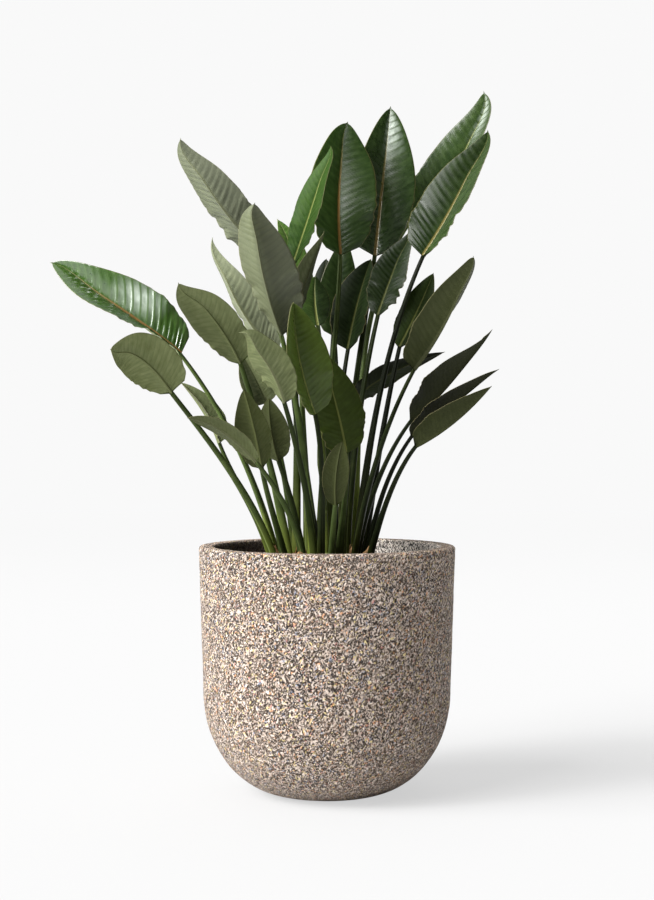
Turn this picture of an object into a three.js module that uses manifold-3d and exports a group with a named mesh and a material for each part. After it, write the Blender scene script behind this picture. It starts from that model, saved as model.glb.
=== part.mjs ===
// Potted bird of paradise: a clump of stalked paddle leaves in a round-bottomed pot of washed aggregate.
// Millimetres, +Z up, -Y towards the viewer. The origin is the middle of the pot's flat foot.
import * as THREE from 'three';
import { mergeVertices } from 'three/addons/utils/BufferGeometryUtils.js';
import Module from 'manifold-3d';

const wasm = await Module();
wasm.setup();

// Pot: an upright wall that tapers a little down to the shoulder, then an elliptical bowl to a flat foot
const RIM_RADIUS = 195;
const POT_HEIGHT = 375;
const SHOULDER_RADIUS = 188;
const SHOULDER_HEIGHT = 155;
const FOOT_RADIUS = 63;
const WALL = 24;
const FLOOR = 26;
const INNER_FLAT_RADIUS = 45;
const LIP_ROUND = 3;
const POT_SIDES = 40;
const DRAIN_HOLES = 4;
const DRAIN_RADIUS = 7;
const DRAIN_RING_RADIUS = 32;

// Filling: coarse gravel over the drain holes, and soil up to a little below the rim
const GRAVEL_TOP = 62;
const SOIL_TOP = 350;
const SOIL_EDGE_DROP = 4;
const SOIL_LUMPS = 2;
const ROOT_DEPTH = 60;
const GAP = 0.3;
const HOLE_CLEARANCE = 0.35;

// Stalks: oval rods, thickest in the soil, and blades a little thicker than real ones
const STALK_ROOT_RADIUS = 7.2;
const STALK_MIDDLE_RADIUS = 4.9;
const STALK_TOP_RADIUS = 3.4;
const STALK_FLATTENING = 0.82;
const NECK_STRAIGHTNESS = 0.8;
const BLADE_THICKNESS = 1;
const RIB_DEPTH = 3.2;
const BLADE_DROOP = 0.1;
const WAVES_PER_BLADE = 3.6;
const WAVE_PLACE = 0.24;
const WAVE_SPREAD = 0.22;
const BASE_BLUNTNESS = 0.45;

// Leaves. root is where the stalk stands in the soil (x, y); base, mid and tip are points on the midrib.
// turn is the blade's turn about its midrib: 0 shows its upper side to the viewer, 180 its underside.
// fold is the angle that each half rises from flat, twist is the turn gained from base to tip, belly is
// how far up the widest place is, point is how sharp the tip is, and wave is the swing of the margin.
// Where they are given, skew widens one half against the other, lean puts one half's widest place higher
// than the other's, and bow swings the stalk aside (x, y).
const LEAVES = [
  { name: 'leaf_far_left_glossy', root: [-62, -14], base: [-220, -40, 665],
    mid: [-306, -30, 730], tip: [-422, 0, 806], width: 98, turn: 66, twist: -60,
    fold: 48, belly: 0.5, point: 0.72, wave: 2.5, skew: 0.06, lean: -0.12 },
  { name: 'leaf_left_round', root: [-69, -42], bow: [16, 0], base: [-227, -115, 606],
    mid: [-263, -175, 651], tip: [-302, -225, 664], width: 74, turn: 180,
    fold: 10, belly: 0.41, point: 0.6, wave: 2.0, skew: -0.12, lean: 0.05 },
  { name: 'leaf_high_left', root: [-45, -22], base: [-97, -50, 817],
    mid: [-162, -85, 889], tip: [-213, -110, 977], width: 80, turn: 138,
    fold: 28, belly: 0.4, point: 0.62, wave: 3.0 },
  { name: 'leaf_tall_left_front', root: [-17, -58], base: [-66, -135, 688],
    mid: [-94, -165, 785], tip: [-102, -175, 874], width: 84, turn: 169,
    fold: 36, belly: 0.49, point: 0.62, wave: 3.0, skew: -0.21, lean: 0.13 },
  { name: 'leaf_slim_left', root: [-27, -31], base: [-75, -65, 667],
    mid: [-130, -95, 736], tip: [-166, -115, 832], width: 64, turn: 137,
    fold: 43, belly: 0.42, point: 0.85, wave: 2.0 },
  { name: 'leaf_mid_left', root: [-50, -46], base: [-127, -105, 649],
    mid: [-161, -150, 708], tip: [-210, -190, 760], width: 62, turn: 180,
    fold: 14, belly: 0.46, point: 0.64, wave: 2.5, lean: 0.07 },
  { name: 'leaf_front_left_hook', root: [-15, -79], bow: [6, 0], base: [-60, -205, 590],
    mid: [-83, -238, 643], tip: [-122, -252, 685], width: 62, turn: 147,
    fold: 33, belly: 0.44, point: 0.8, wave: 2.0 },
  { name: 'leaf_behind_left', root: [-42, 4], base: [-91, -15, 592],
    mid: [-107, -25, 627], tip: [-131, -35, 671], width: 54, turn: 20,
    fold: 15, belly: 0.42, point: 0.75, wave: 1.5 },
  { name: 'leaf_low_left', root: [-52, -67], base: [-94, -150, 497],
    mid: [-104, -165, 551], tip: [-119, -170, 610], width: 56, turn: 206,
    fold: 28, belly: 0.44, point: 0.7, wave: 1.5 },
  { name: 'leaf_low_left_small', root: [-33, -49], bow: [6, 0], base: [-71, -110, 507],
    mid: [-81, -120, 551], tip: [-84, -125, 598], width: 52, turn: 168,
    fold: 32, belly: 0.42, point: 0.7, wave: 1.0 },
  { name: 'leaf_low_left_arched', root: [-28, -98], bow: [12, 0], base: [-100, -195, 506],
    mid: [-147, -215, 550], tip: [-194, -235, 568], width: 44, turn: 126,
    fold: 20, belly: 0.4, point: 0.8, wave: 1.0 },
  { name: 'leaf_left_folded', root: [-61, 8], base: [-165, 15, 531],
    mid: [-186, 5, 575], tip: [-223, -5, 624], width: 56, turn: 65,
    fold: 45, belly: 0.42, point: 0.75, wave: 1.5 },
  { name: 'leaf_upper_left_green', root: [-13, 6], base: [-51, -10, 803],
    mid: [-20, 5, 899], tip: [5, 20, 987], width: 54, turn: -42,
    fold: 30, belly: 0.42, point: 0.8, wave: 2.0 },
  { name: 'leaf_top_broad', root: [-9, 35], bow: [-10, 0], base: [21, 70, 825],
    mid: [19, 85, 932], tip: [33, 95, 1037], width: 116, turn: 13,
    fold: 36, belly: 0.42, point: 0.62, wave: 3.0, skew: 0.04 },
  { name: 'leaf_top_centre', root: [20, 55], bow: [-8, 0], base: [76, 115, 828],
    mid: [88, 130, 938], tip: [102, 140, 1070], width: 104, turn: 6,
    fold: 28, belly: 0.44, point: 0.64, wave: 2.0, lean: 0.04 },
  { name: 'leaf_top_right_back', root: [39, 66], base: [133, 150, 885],
    mid: [208, 170, 971], tip: [255, 190, 1104], width: 100, turn: -36,
    fold: 38, belly: 0.4, point: 0.62, wave: 2.0 },
  { name: 'leaf_top_right_front', root: [38, 4], base: [147, 10, 817],
    mid: [198, 20, 904], tip: [247, 30, 1013], width: 97, turn: -47, twist: 8,
    fold: 38, belly: 0.36, point: 0.68, wave: 2.4, skew: -0.08 },
  { name: 'leaf_centre_waved', root: [24, 20], base: [79, 45, 729],
    mid: [101, 55, 791], tip: [128, 60, 861], width: 64, turn: -31,
    fold: 31, belly: 0.46, point: 0.8, wave: 4.0 },
  { name: 'leaf_centre_dark', root: [12, 37], bow: [-6, 0], base: [33, 85, 678],
    mid: [49, 100, 752], tip: [70, 110, 823], width: 78, turn: -36,
    fold: 36, belly: 0.44, point: 0.72, wave: 2.0 },
  { name: 'leaf_back_upright', root: [0, 54], base: [10, 120, 702],
    mid: [18, 140, 776], tip: [29, 155, 866], width: 62, turn: 0,
    fold: 15, belly: 0.42, point: 0.75, wave: 2.0 },
  { name: 'leaf_back_small', root: [3, 75], base: [7, 165, 737],
    mid: [-3, 185, 788], tip: [-1, 200, 832], width: 40, turn: -20,
    fold: 15, belly: 0.42, point: 0.72, wave: 1.0 },
  { name: 'leaf_edge_dark', root: [-7, -41], base: [-53, -68, 692],
    mid: [-33, -54, 770], tip: [-4, -44, 849], width: 58, turn: 245,
    fold: 25, belly: 0.42, point: 0.85, wave: 1.5 },
  { name: 'leaf_back_left', root: [-25, 22], base: [-42, 60, 707],
    mid: [-50, 80, 810], tip: [-79, 95, 884], width: 52, turn: 30,
    fold: 18, belly: 0.42, point: 0.8, wave: 2.5 },
  { name: 'leaf_centre_short', root: [6, -3], base: [-14, 35, 712],
    mid: [-19, 48, 753], tip: [-18, 58, 791], width: 46, turn: 10,
    fold: 15, belly: 0.44, point: 0.75, wave: 1.5 },
  { name: 'leaf_front_centre', root: [-10, -98], base: [-17, -162, 573],
    mid: [-40, -172, 654], tip: [-48, -166, 734], width: 88, turn: 41,
    fold: 41, belly: 0.42, point: 0.64, wave: 1.5 },
  { name: 'leaf_front_right_low', root: [11, -40], base: [28, -115, 518],
    mid: [13, -125, 587], tip: [-10, -125, 667], width: 76, turn: 22,
    fold: 22, belly: 0.42, point: 0.72, wave: 3.0 },
  { name: 'leaf_right_folded', root: [31, -37], base: [128, -95, 640],
    mid: [176, -120, 715], tip: [210, -145, 802], width: 88, turn: 250, twist: -28,
    fold: 42, belly: 0.34, point: 0.58, wave: 2.0 },
  { name: 'leaf_right_behind', root: [43, 25], bow: [14, 0], base: [112, 35, 679],
    mid: [142, 50, 739], tip: [166, 60, 796], width: 54, turn: -36,
    fold: 30, belly: 0.42, point: 0.75, wave: 1.5 },
  { name: 'leaf_back_right_low', root: [4, 18], base: [41, 56, 593],
    mid: [94, 72, 636], tip: [186, 84, 674], width: 54, turn: -52,
    fold: 15, belly: 0.44, point: 0.8, wave: 1.5 },
  { name: 'leaf_right_upper', root: [33, -16], base: [126, -40, 565],
    mid: [184, -25, 620], tip: [251, -10, 704], width: 92, turn: 248,
    fold: 32, belly: 0.4, point: 1.1, wave: 2.0 },
  { name: 'leaf_right_lower', root: [46, -54], bow: [10, 0], base: [129, -130, 528],
    mid: [184, -155, 564], tip: [234, -180, 614], width: 66, turn: 238,
    fold: 42, belly: 0.4, point: 0.8, wave: 1.5 },
  { name: 'leaf_front_small', root: [9, -92], bow: [-6, 0], base: [12, -178, 445],
    mid: [13, -186, 492], tip: [22, -183, 536], width: 38, turn: 190,
    fold: 15, belly: 0.46, point: 0.75, wave: 0.8 },
  { name: 'leaf_right_middle', root: [50, -32], base: [125, -85, 542],
    mid: [183, -100, 588], tip: [251, -115, 640], width: 66, turn: 256,
    fold: 36, belly: 0.42, point: 0.85, wave: 1.5 },
];

// A young leaf, still rolled to a spear. thick is the roll's largest radius.
const SPEARS = [
  { name: 'young_leaf', root: [3, -69], base: [-6, -80, 470], mid: [-8, -83, 520],
    tip: [-9, -84, 568], thick: 6.5 },
];

const COLOURS = {
  pot: '#a3968a',
  gravel: '#8a8178',
  soil: '#2b211a',
  upper: '#2c4a26',
  under: '#59664a',
  spear: '#6f8a3c',
};

function material(colour, roughness) {
  return new THREE.MeshStandardMaterial({ color: colour, roughness, metalness: 0 });
}

// Solids and joins

function toManifold(geometry) {
  const bare = geometry.clone();
  bare.deleteAttribute('normal');
  bare.deleteAttribute('uv');
  const merged = mergeVertices(bare, 1e-4);
  const index = merged.index.array;
  const triangles = [];
  for (let i = 0; i < index.length; i += 3) {
    const [a, b, c] = [index[i], index[i + 1], index[i + 2]];
    if (a !== b && b !== c && c !== a) triangles.push(a, b, c);
  }
  const mesh = new wasm.Mesh({
    numProp: 3,
    vertProperties: new Float32Array(merged.attributes.position.array),
    triVerts: new Uint32Array(triangles),
  });
  return new wasm.Manifold(mesh);
}

function toGeometry(manifold) {
  const mesh = manifold.getMesh();
  const geometry = new THREE.BufferGeometry();
  geometry.setAttribute('position', new THREE.BufferAttribute(new Float32Array(mesh.vertProperties), 3));
  geometry.setIndex(new THREE.BufferAttribute(new Uint32Array(mesh.triVerts), 1));
  geometry.computeVertexNormals();
  return geometry;
}

// A turned body about +Z from a profile of [radius, height] that starts and ends on the axis
function turned(profile) {
  const points = profile.map(([radius, height]) => new THREE.Vector2(radius, height));
  const geometry = new THREE.LatheGeometry(points, POT_SIDES);
  geometry.rotateX(Math.PI / 2);
  return geometry;
}

// Sides of a ring whose squares split the other way, so that a blade's two faces split along its side veins
const VEIN_SPLITS = [0, 1, 7, 8];

// A closed skin over rings of equal size, with a fan over the first ring and another to an end point
function skinned(rings, endPoint) {
  const size = rings[0].length;
  const points = [...rings.flat(), endPoint];
  const index = [];
  for (let side = 1; side < size - 1; side += 1) index.push(0, side + 1, side);
  for (let row = 0; row < rings.length - 1; row += 1) {
    for (let side = 0; side < size; side += 1) {
      const next = (side + 1) % size;
      const [a, b] = [row * size + side, row * size + next];
      const [c, d] = [a + size, b + size];
      if (VEIN_SPLITS.includes(side)) index.push(a, b, c, b, d, c);
      else index.push(a, b, d, a, d, c);
    }
  }
  const last = (rings.length - 1) * size;
  for (let side = 0; side < size; side += 1) {
    index.push(last + side, last + (side + 1) % size, points.length - 1);
  }
  const geometry = new THREE.BufferGeometry().setFromPoints(points);
  geometry.setIndex(index);
  geometry.computeVertexNormals();
  return geometry;
}

// Pot and filling

function bowlRadius(height, topRadius, flatRadius, bottom) {
  const drop = (SHOULDER_HEIGHT - height) / (SHOULDER_HEIGHT - bottom);
  return flatRadius + (topRadius - flatRadius) * Math.sqrt(Math.max(0, 1 - drop * drop));
}

function outerRadius(height) {
  if (height < SHOULDER_HEIGHT) return bowlRadius(height, SHOULDER_RADIUS, FOOT_RADIUS, 0);
  const up = (height - SHOULDER_HEIGHT) / (POT_HEIGHT - SHOULDER_HEIGHT);
  return THREE.MathUtils.lerp(SHOULDER_RADIUS, RIM_RADIUS, up);
}

function innerRadius(height) {
  if (height >= SHOULDER_HEIGHT) return outerRadius(height) - WALL;
  return bowlRadius(height, SHOULDER_RADIUS - WALL, INNER_FLAT_RADIUS, FLOOR);
}

const BOWL_STEPS = [0, 0.12, 0.25, 0.38, 0.52, 0.66, 0.82, 1];

// Heights on the bowl, closer together near the foot where it bends most
function bowlHeights(bottom) {
  return BOWL_STEPS.map((step) => bottom + (SHOULDER_HEIGHT - bottom) * (1 - Math.cos(step * Math.PI / 2)));
}

const INNER_HEIGHTS = [...bowlHeights(FLOOR), 225, SOIL_TOP];

function potBody() {
  const outside = bowlHeights(0).map((height) => [outerRadius(height), height]);
  const inside = INNER_HEIGHTS.map((height) => [innerRadius(height), height]).reverse();
  const lipInside = RIM_RADIUS - WALL;
  const profile = [
    [0, 0],
    ...outside,
    [outerRadius(265), 265],
    [RIM_RADIUS, POT_HEIGHT - LIP_ROUND],
    [RIM_RADIUS - LIP_ROUND, POT_HEIGHT],
    [lipInside + LIP_ROUND, POT_HEIGHT],
    [lipInside, POT_HEIGHT - LIP_ROUND],
    ...inside,
    [0, FLOOR],
  ];
  let body = toManifold(turned(profile));
  for (let hole = 0; hole < DRAIN_HOLES; hole += 1) {
    const angle = (hole + 0.5) * 2 * Math.PI / DRAIN_HOLES;
    const drill = new THREE.CylinderGeometry(DRAIN_RADIUS, DRAIN_RADIUS, 3 * FLOOR, 12);
    drill.rotateX(Math.PI / 2);
    drill.translate(DRAIN_RING_RADIUS * Math.cos(angle), DRAIN_RING_RADIUS * Math.sin(angle), FLOOR / 2);
    body = body.subtract(toManifold(drill));
  }
  return toGeometry(body);
}

// A corner of the filling, clear of the wall's corner at this height by the gap
function besideWall(height) {
  return [innerRadius(height) - GAP, height + GAP];
}

function gravelBody() {
  const heights = INNER_HEIGHTS.filter((height) => height > FLOOR && height < GRAVEL_TOP);
  return turned([
    [0, FLOOR + GAP],
    [innerRadius(FLOOR) - GAP, FLOOR + GAP],
    ...heights.map(besideWall),
    [wallRadiusAt(GRAVEL_TOP - GAP) - GAP, GRAVEL_TOP],
    [0, GRAVEL_TOP],
  ]);
}

// The radius of the faceted inside wall, read between the heights that it bends at
function wallRadiusAt(height) {
  const above = INNER_HEIGHTS.findIndex((level) => level >= height);
  const [low, high] = [INNER_HEIGHTS[above - 1], INNER_HEIGHTS[above]];
  return THREE.MathUtils.mapLinear(height, low, high, innerRadius(low), innerRadius(high));
}

function soilBody() {
  const bottom = GRAVEL_TOP + GAP;
  const heights = INNER_HEIGHTS.filter((height) => height > bottom && height < SOIL_TOP);
  const edge = wallRadiusAt(SOIL_TOP - SOIL_EDGE_DROP) - GAP;
  const geometry = turned([
    [0, bottom],
    [wallRadiusAt(bottom - GAP) - GAP, bottom],
    ...heights.map(besideWall),
    [edge, SOIL_TOP - SOIL_EDGE_DROP],
    [edge - 26, SOIL_TOP],
    [edge - 64, SOIL_TOP],
    [edge - 110, SOIL_TOP],
    [0, SOIL_TOP],
  ]);
  const position = geometry.attributes.position;
  for (let i = 0; i < position.count; i += 1) {
    const [x, y, z] = [position.getX(i), position.getY(i), position.getZ(i)];
    const inside = z > SOIL_TOP - 1 ? 1 : 0;
    const lump = Math.sin(x * 0.11 + 1) * Math.cos(y * 0.13) + 0.6 * Math.sin(x * 0.05 - y * 0.09);
    position.setZ(i, z + inside * SOIL_LUMPS * lump);
  }
  let body = toManifold(geometry);
  for (const stalk of [...LEAVES, ...SPEARS]) body = body.subtract(toManifold(stalkHole(stalk)));
  return toGeometry(body);
}

// Stalks

const RING_ANGLES = [162, 126, 90, 54, 18, -18, -54, -90, -126, -162].map(THREE.MathUtils.degToRad);

function point(values) {
  return new THREE.Vector3(...values);
}

function midribOf(plant) {
  const [base, mid, tip] = [point(plant.base), point(plant.mid), point(plant.tip)];
  const control = mid.clone().multiplyScalar(2).addScaledVector(base, -0.5).addScaledVector(tip, -0.5);
  return new THREE.QuadraticBezierCurve3(base, control, tip);
}

function stalkOf(plant) {
  const foot = new THREE.Vector3(plant.root[0], plant.root[1], SOIL_TOP - ROOT_DEPTH);
  const base = point(plant.base);
  const reach = base.clone().sub(foot);
  const length = reach.length();
  const lean = reach.normalize();
  const rise = lean.clone().multiplyScalar(0.4).add(new THREE.Vector3(0, 0, 0.6)).normalize();
  const neck = midribOf(plant).getTangent(0).addScaledVector(lean, NECK_STRAIGHTNESS).normalize();
  const bow = new THREE.Vector3(...(plant.bow ?? [0, 0]), 0);
  const low = foot.clone().addScaledVector(rise, 0.36 * length).add(bow);
  const high = base.clone().addScaledVector(neck, -0.3 * length).add(bow);
  return new THREE.CubicBezierCurve3(foot, low, high, base);
}

function stalkRadius(along) {
  if (along < 0.5) return THREE.MathUtils.lerp(STALK_ROOT_RADIUS, STALK_MIDDLE_RADIUS, along * 2);
  return THREE.MathUtils.lerp(STALK_MIDDLE_RADIUS, STALK_TOP_RADIUS, along * 2 - 1);
}

// The upper side's direction and the sideways direction of a leaf, across its midrib or stalk
function across(tangent, turn) {
  const front = new THREE.Vector3(0, -1, 0);
  front.addScaledVector(tangent, -front.dot(tangent)).normalize();
  const side = new THREE.Vector3().crossVectors(tangent, front);
  const angle = THREE.MathUtils.degToRad(turn);
  const up = front.multiplyScalar(Math.cos(angle)).addScaledVector(side, Math.sin(angle));
  return { up, side: new THREE.Vector3().crossVectors(tangent, up) };
}

function stalkRing(curve, along, turn, grow) {
  const centre = curve.getPoint(along);
  const { up, side } = across(curve.getTangent(along), turn);
  const radius = stalkRadius(along) + grow;
  return RING_ANGLES.map((angle) => centre.clone()
    .addScaledVector(side, radius * Math.cos(angle))
    .addScaledVector(up, (radius * STALK_FLATTENING + grow * (1 - STALK_FLATTENING)) * Math.sin(angle)));
}

// Where a stalk leaves the soil, as a share of its curve
function surfaceAlong(curve) {
  const target = SOIL_TOP + 3 * SOIL_LUMPS;
  let [low, high] = [0, 1];
  for (let step = 0; step < 40; step += 1) {
    const middle = (low + high) / 2;
    if (curve.getPoint(middle).z < target) low = middle;
    else high = middle;
  }
  return high;
}

// The hole in the soil for a stalk's foot, a little wider than the stalk all round
function stalkHole(plant) {
  const curve = stalkOf(plant);
  const turn = plant.turn ?? 0;
  const mouth = stalkRing(curve, surfaceAlong(curve), turn, HOLE_CLEARANCE);
  const bottom = stalkRing(curve, 0, turn, HOLE_CLEARANCE);
  const down = curve.getTangent(0).multiplyScalar(-GAP);
  bottom.forEach((corner) => corner.add(down));
  const middle = new THREE.Vector3();
  for (const corner of mouth) middle.addScaledVector(corner, 1 / mouth.length);
  return skinned([bottom, mouth], middle);
}

// Blades

const ACROSS = [-1, -0.5, 0, 0.5, 1];
const BLADE_STEPS = [0.025, 0.08, 0.15, 0.23, 0.32, 0.42, 0.52, 0.62, 0.72, 0.82, 0.91, 0.97];
const STALK_STEPS = [0.33, 0.67, 1];
const ROLL_STEPS = [0.25, 0.5, 0.75, 0.92];
const ROLL_THICKEST = 0.3;

// Half the blade's width at a share of its length, as a share of the widest
function outline(plant, along, sign) {
  const power = Math.log(0.5) / Math.log(plant.belly + sign * (plant.lean ?? 0));
  const bluntness = THREE.MathUtils.lerp(BASE_BLUNTNESS, plant.point, Math.min(1, along / 0.8));
  return Math.sin(Math.PI * along ** power) ** bluntness;
}

// The margin is waved near the stalk and calms down towards the tip
function marginWave(along, side) {
  const window = Math.exp(-(((along - WAVE_PLACE) / WAVE_SPREAD) ** 2));
  return window * Math.sin(2 * Math.PI * WAVES_PER_BLADE * along + (side > 0 ? 0 : 2.2));
}

// A point of the blade's middle surface and the direction of its upper side there
function bladePoint(plant, midrib, along, offset) {
  const tangent = midrib.getTangent(along);
  const { up, side } = across(tangent, plant.turn + (plant.twist ?? 0) * along);
  const [sign, share] = [offset < 0 ? -1 : 1, Math.abs(offset)];
  const fold = THREE.MathUtils.degToRad(plant.fold);
  const half = plant.width / 2 * (1 + sign * (plant.skew ?? 0)) * outline(plant, along, sign);
  const outward = side.clone().multiplyScalar(sign * Math.cos(fold)).addScaledVector(up, Math.sin(fold));
  const normal = up.clone().multiplyScalar(Math.cos(fold)).addScaledVector(side, -sign * Math.sin(fold));
  const lift = share * share * (plant.wave * marginWave(along, sign) - BLADE_DROOP * half);
  const place = midrib.getPoint(along).addScaledVector(outward, half * share).addScaledVector(normal, lift);
  return { place, normal: offset === 0 ? up : normal };
}

function bladeRing(plant, midrib, along) {
  const top = [];
  const under = [];
  for (const offset of ACROSS) {
    const { place, normal } = bladePoint(plant, midrib, along, offset);
    const depth = offset === 0 ? BLADE_THICKNESS / 2 + RIB_DEPTH * (1 - along) : BLADE_THICKNESS / 2;
    top.push(place.clone().addScaledVector(normal, BLADE_THICKNESS / 2));
    under.unshift(place.clone().addScaledVector(normal, -depth));
  }
  return [...top, ...under];
}

function leafBody(plant) {
  const [stalk, midrib] = [stalkOf(plant), midribOf(plant)];
  const surface = surfaceAlong(stalk);
  const steps = STALK_STEPS.map((step) => surface + (1 - surface) * step);
  const rings = [0, surface, ...steps].map((along) => stalkRing(stalk, along, plant.turn, 0));
  for (const along of BLADE_STEPS) rings.push(bladeRing(plant, midrib, along));
  return skinned(rings, point(plant.tip));
}

function spearBody(plant) {
  const [stalk, roll] = [stalkOf(plant), midribOf(plant)];
  const surface = surfaceAlong(stalk);
  const rings = [0, surface, 0.6, 1].map((along) => stalkRing(stalk, along, 0, 0));
  for (const along of ROLL_STEPS) {
    const { up, side } = across(roll.getTangent(along), 0);
    const radius = plant.thick * Math.cos((along - ROLL_THICKEST) * 2) ** 0.8;
    rings.push(RING_ANGLES.map((angle) => roll.getPoint(along)
      .addScaledVector(side, radius * Math.cos(angle))
      .addScaledVector(up, radius * Math.sin(angle))));
  }
  return skinned(rings, point(plant.tip));
}

// Assembly

const plantInPot = new THREE.Group();

function add(name, geometry, finish) {
  const mesh = new THREE.Mesh(geometry, finish);
  mesh.name = name;
  plantInPot.add(mesh);
}

add('pot', potBody(), material(COLOURS.pot, 0.9));
add('drainage_gravel', gravelBody(), material(COLOURS.gravel, 0.9));
add('soil', soilBody(), material(COLOURS.soil, 1));

const upperSideGreen = material(COLOURS.upper, 0.4);
const undersideGreen = material(COLOURS.under, 0.6);
for (const plant of LEAVES) {
  const showsUnderside = Math.cos(THREE.MathUtils.degToRad(plant.turn)) < 0;
  add(plant.name, leafBody(plant), showsUnderside ? undersideGreen : upperSideGreen);
}
for (const plant of SPEARS) add(plant.name, spearBody(plant), material(COLOURS.spear, 0.5));

export default plantInPot;
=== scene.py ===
"""Looks of a potted bird of paradise: stalked paddle leaves, soil and husks in a pot of washed aggregate."""
import math
import random
from types import SimpleNamespace

import bpy
import bmesh
import numpy as np
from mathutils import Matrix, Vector, noise


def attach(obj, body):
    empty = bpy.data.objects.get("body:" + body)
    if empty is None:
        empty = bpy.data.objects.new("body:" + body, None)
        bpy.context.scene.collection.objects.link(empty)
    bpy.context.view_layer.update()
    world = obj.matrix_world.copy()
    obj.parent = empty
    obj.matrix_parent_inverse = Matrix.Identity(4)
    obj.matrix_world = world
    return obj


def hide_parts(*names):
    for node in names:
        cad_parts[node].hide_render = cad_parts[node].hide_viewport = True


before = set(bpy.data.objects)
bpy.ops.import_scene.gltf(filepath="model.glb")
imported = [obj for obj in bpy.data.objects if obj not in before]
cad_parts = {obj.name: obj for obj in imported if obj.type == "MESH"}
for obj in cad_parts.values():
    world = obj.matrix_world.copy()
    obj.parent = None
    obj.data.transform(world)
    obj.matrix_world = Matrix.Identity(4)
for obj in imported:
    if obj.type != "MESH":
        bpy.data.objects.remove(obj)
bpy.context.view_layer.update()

MM = 0.001

# The photograph: its height and the row of its horizon in pixels, and where its camera stood, in metres
PHOTO_HEIGHT = 900
HORIZON_ROW = 428.7
CAMERA_DISTANCE = 2.6
CAMERA_HEIGHT = 0.553
METRES_PER_PIXEL = 0.001524
SENSOR = 36
FARTHEST_SEEN = 400

# Floor and backdrop: how far the floor reaches and where it fades into the backdrop, in metres, and their
# brightness. The camera sees the floor's glow and its matt share, and the plant gets the floor's bounce.
FLOOR_REACH = 90.0
FADE_START = 2.0
FADE_END = 9.0
BACKGROUND = 0.948
FLOOR_WHITE = 0.8
FLOOR_MATTE_SHARE = 0.22
FLOOR_GLOW = 0.763
FLOOR_BOUNCE = 0.76

# Lamps: both stand to the left in front, KEY_SIDE degrees aside and KEY_RISE up. Sizes are in degrees. A soft
# light of the surroundings is a direction, a strength and how narrow it is.
KEY_STRENGTH = 7.3
KEY_SIDE = 62
KEY_RISE = 32
KEY_SIZE = 50
GLINT_STRENGTH = 2.2
GLINT_SIZE = 16
DIM_LEVEL = 0.03
SOFT_LIGHTS = [((-0.9, -0.35, 0.25), 0.6, 3), ((0.2, 0.9, 0.35), 0.24, 4), ((0.0, 0.3, 1.0), 0.9, 4)]

# Pot, gravel and soil, in millimetres
RIM_RADIUS = 195
POT_HEIGHT = 375
SHOULDER_RADIUS = 188
SHOULDER_HEIGHT = 155
FOOT_RADIUS = 63
WALL = 24
LIP = 4.5
FLOOR = 26
INNER_FLAT_RADIUS = 45
DRAIN_HOLES = 4
DRAIN_RADIUS = 7
DRAIN_RING_RADIUS = 32
GRAVEL_TOP = 62
SOIL_TOP = 350
ROOT_DEPTH = 60

# Stalks and blades, in millimetres or as shares
STALK_ROOT_RADIUS = 7.2
STALK_MIDDLE_RADIUS = 4.9
STALK_TOP_RADIUS = 3.4
STALK_FLATTENING = 0.82
NECK_STRAIGHTNESS = 0.8
BLADE_THICKNESS = 0.6
RIB_WIDTH = 2.7
KEEL_DEPTH = 3.4
BLADE_DROOP = 0.19
BASE_BLUNTNESS = 0.45
WAVES_PER_BLADE = 3.6
WAVE_PLACE = 0.24
WAVE_SPREAD = 0.22
VEIN_SWEEP = 0.3

# Shape of a leaf, in millimetres and degrees, as the CAD part has it: turn is the blade's turn about its
# midrib (at 0 the viewer sees the upper side, at 180 the underside), fold is how far each half rises, belly
# is how far up the widest place is, point is how sharp the tip is, and wave is the swing of the margin. twist
# is the turn gained from base to tip, skew widens one half, lean puts one half's widest place higher, and bow
# swings the stalk aside (x, y).
# Finer shape: hook is how far the blade swings aside before its tip, ridge is the height of the side veins,
# and rib and drip are the widths of the midrib and of the tip's tail against the usual ones.
# Looks: tone brightens the blade, partly as its own tone and partly as painted shade, lower on leaves that
# stand in shadow. A further share makes one half brighter and the other darker where halves says so: painted
# light and shade, as light falls on the halves. stem brightens the stalk, lower as painted shade on stalks in
# shadow. warm makes the green more olive, or fresher below 0, and red colours the midrib. gloss is the shine
# of the upper side, or how pale the midrib is on the underside, and at a high gloss how much painted sheen
# greys the underside. A dull leaf shows the look of an underside on both faces.
PLAIN_LEAF = dict(belly=0.42, point=0.75, wave=1.5, twist=0, skew=0, lean=0, bow=(0, 0), hook=0, ridge=0.2,
                  rib=1, drip=1, tone=1, halves=0, stem=1, warm=0, red=0.1, gloss=0.2, dull=False)


def grow(name, root, base, mid, tip, **own):
    """A leaf: where its stalk stands (x, y), three points on its midrib, and what isn't as on a plain one."""
    return SimpleNamespace(name=name, root=root, base=base, mid=mid, tip=tip, **{**PLAIN_LEAF, **own})


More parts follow.
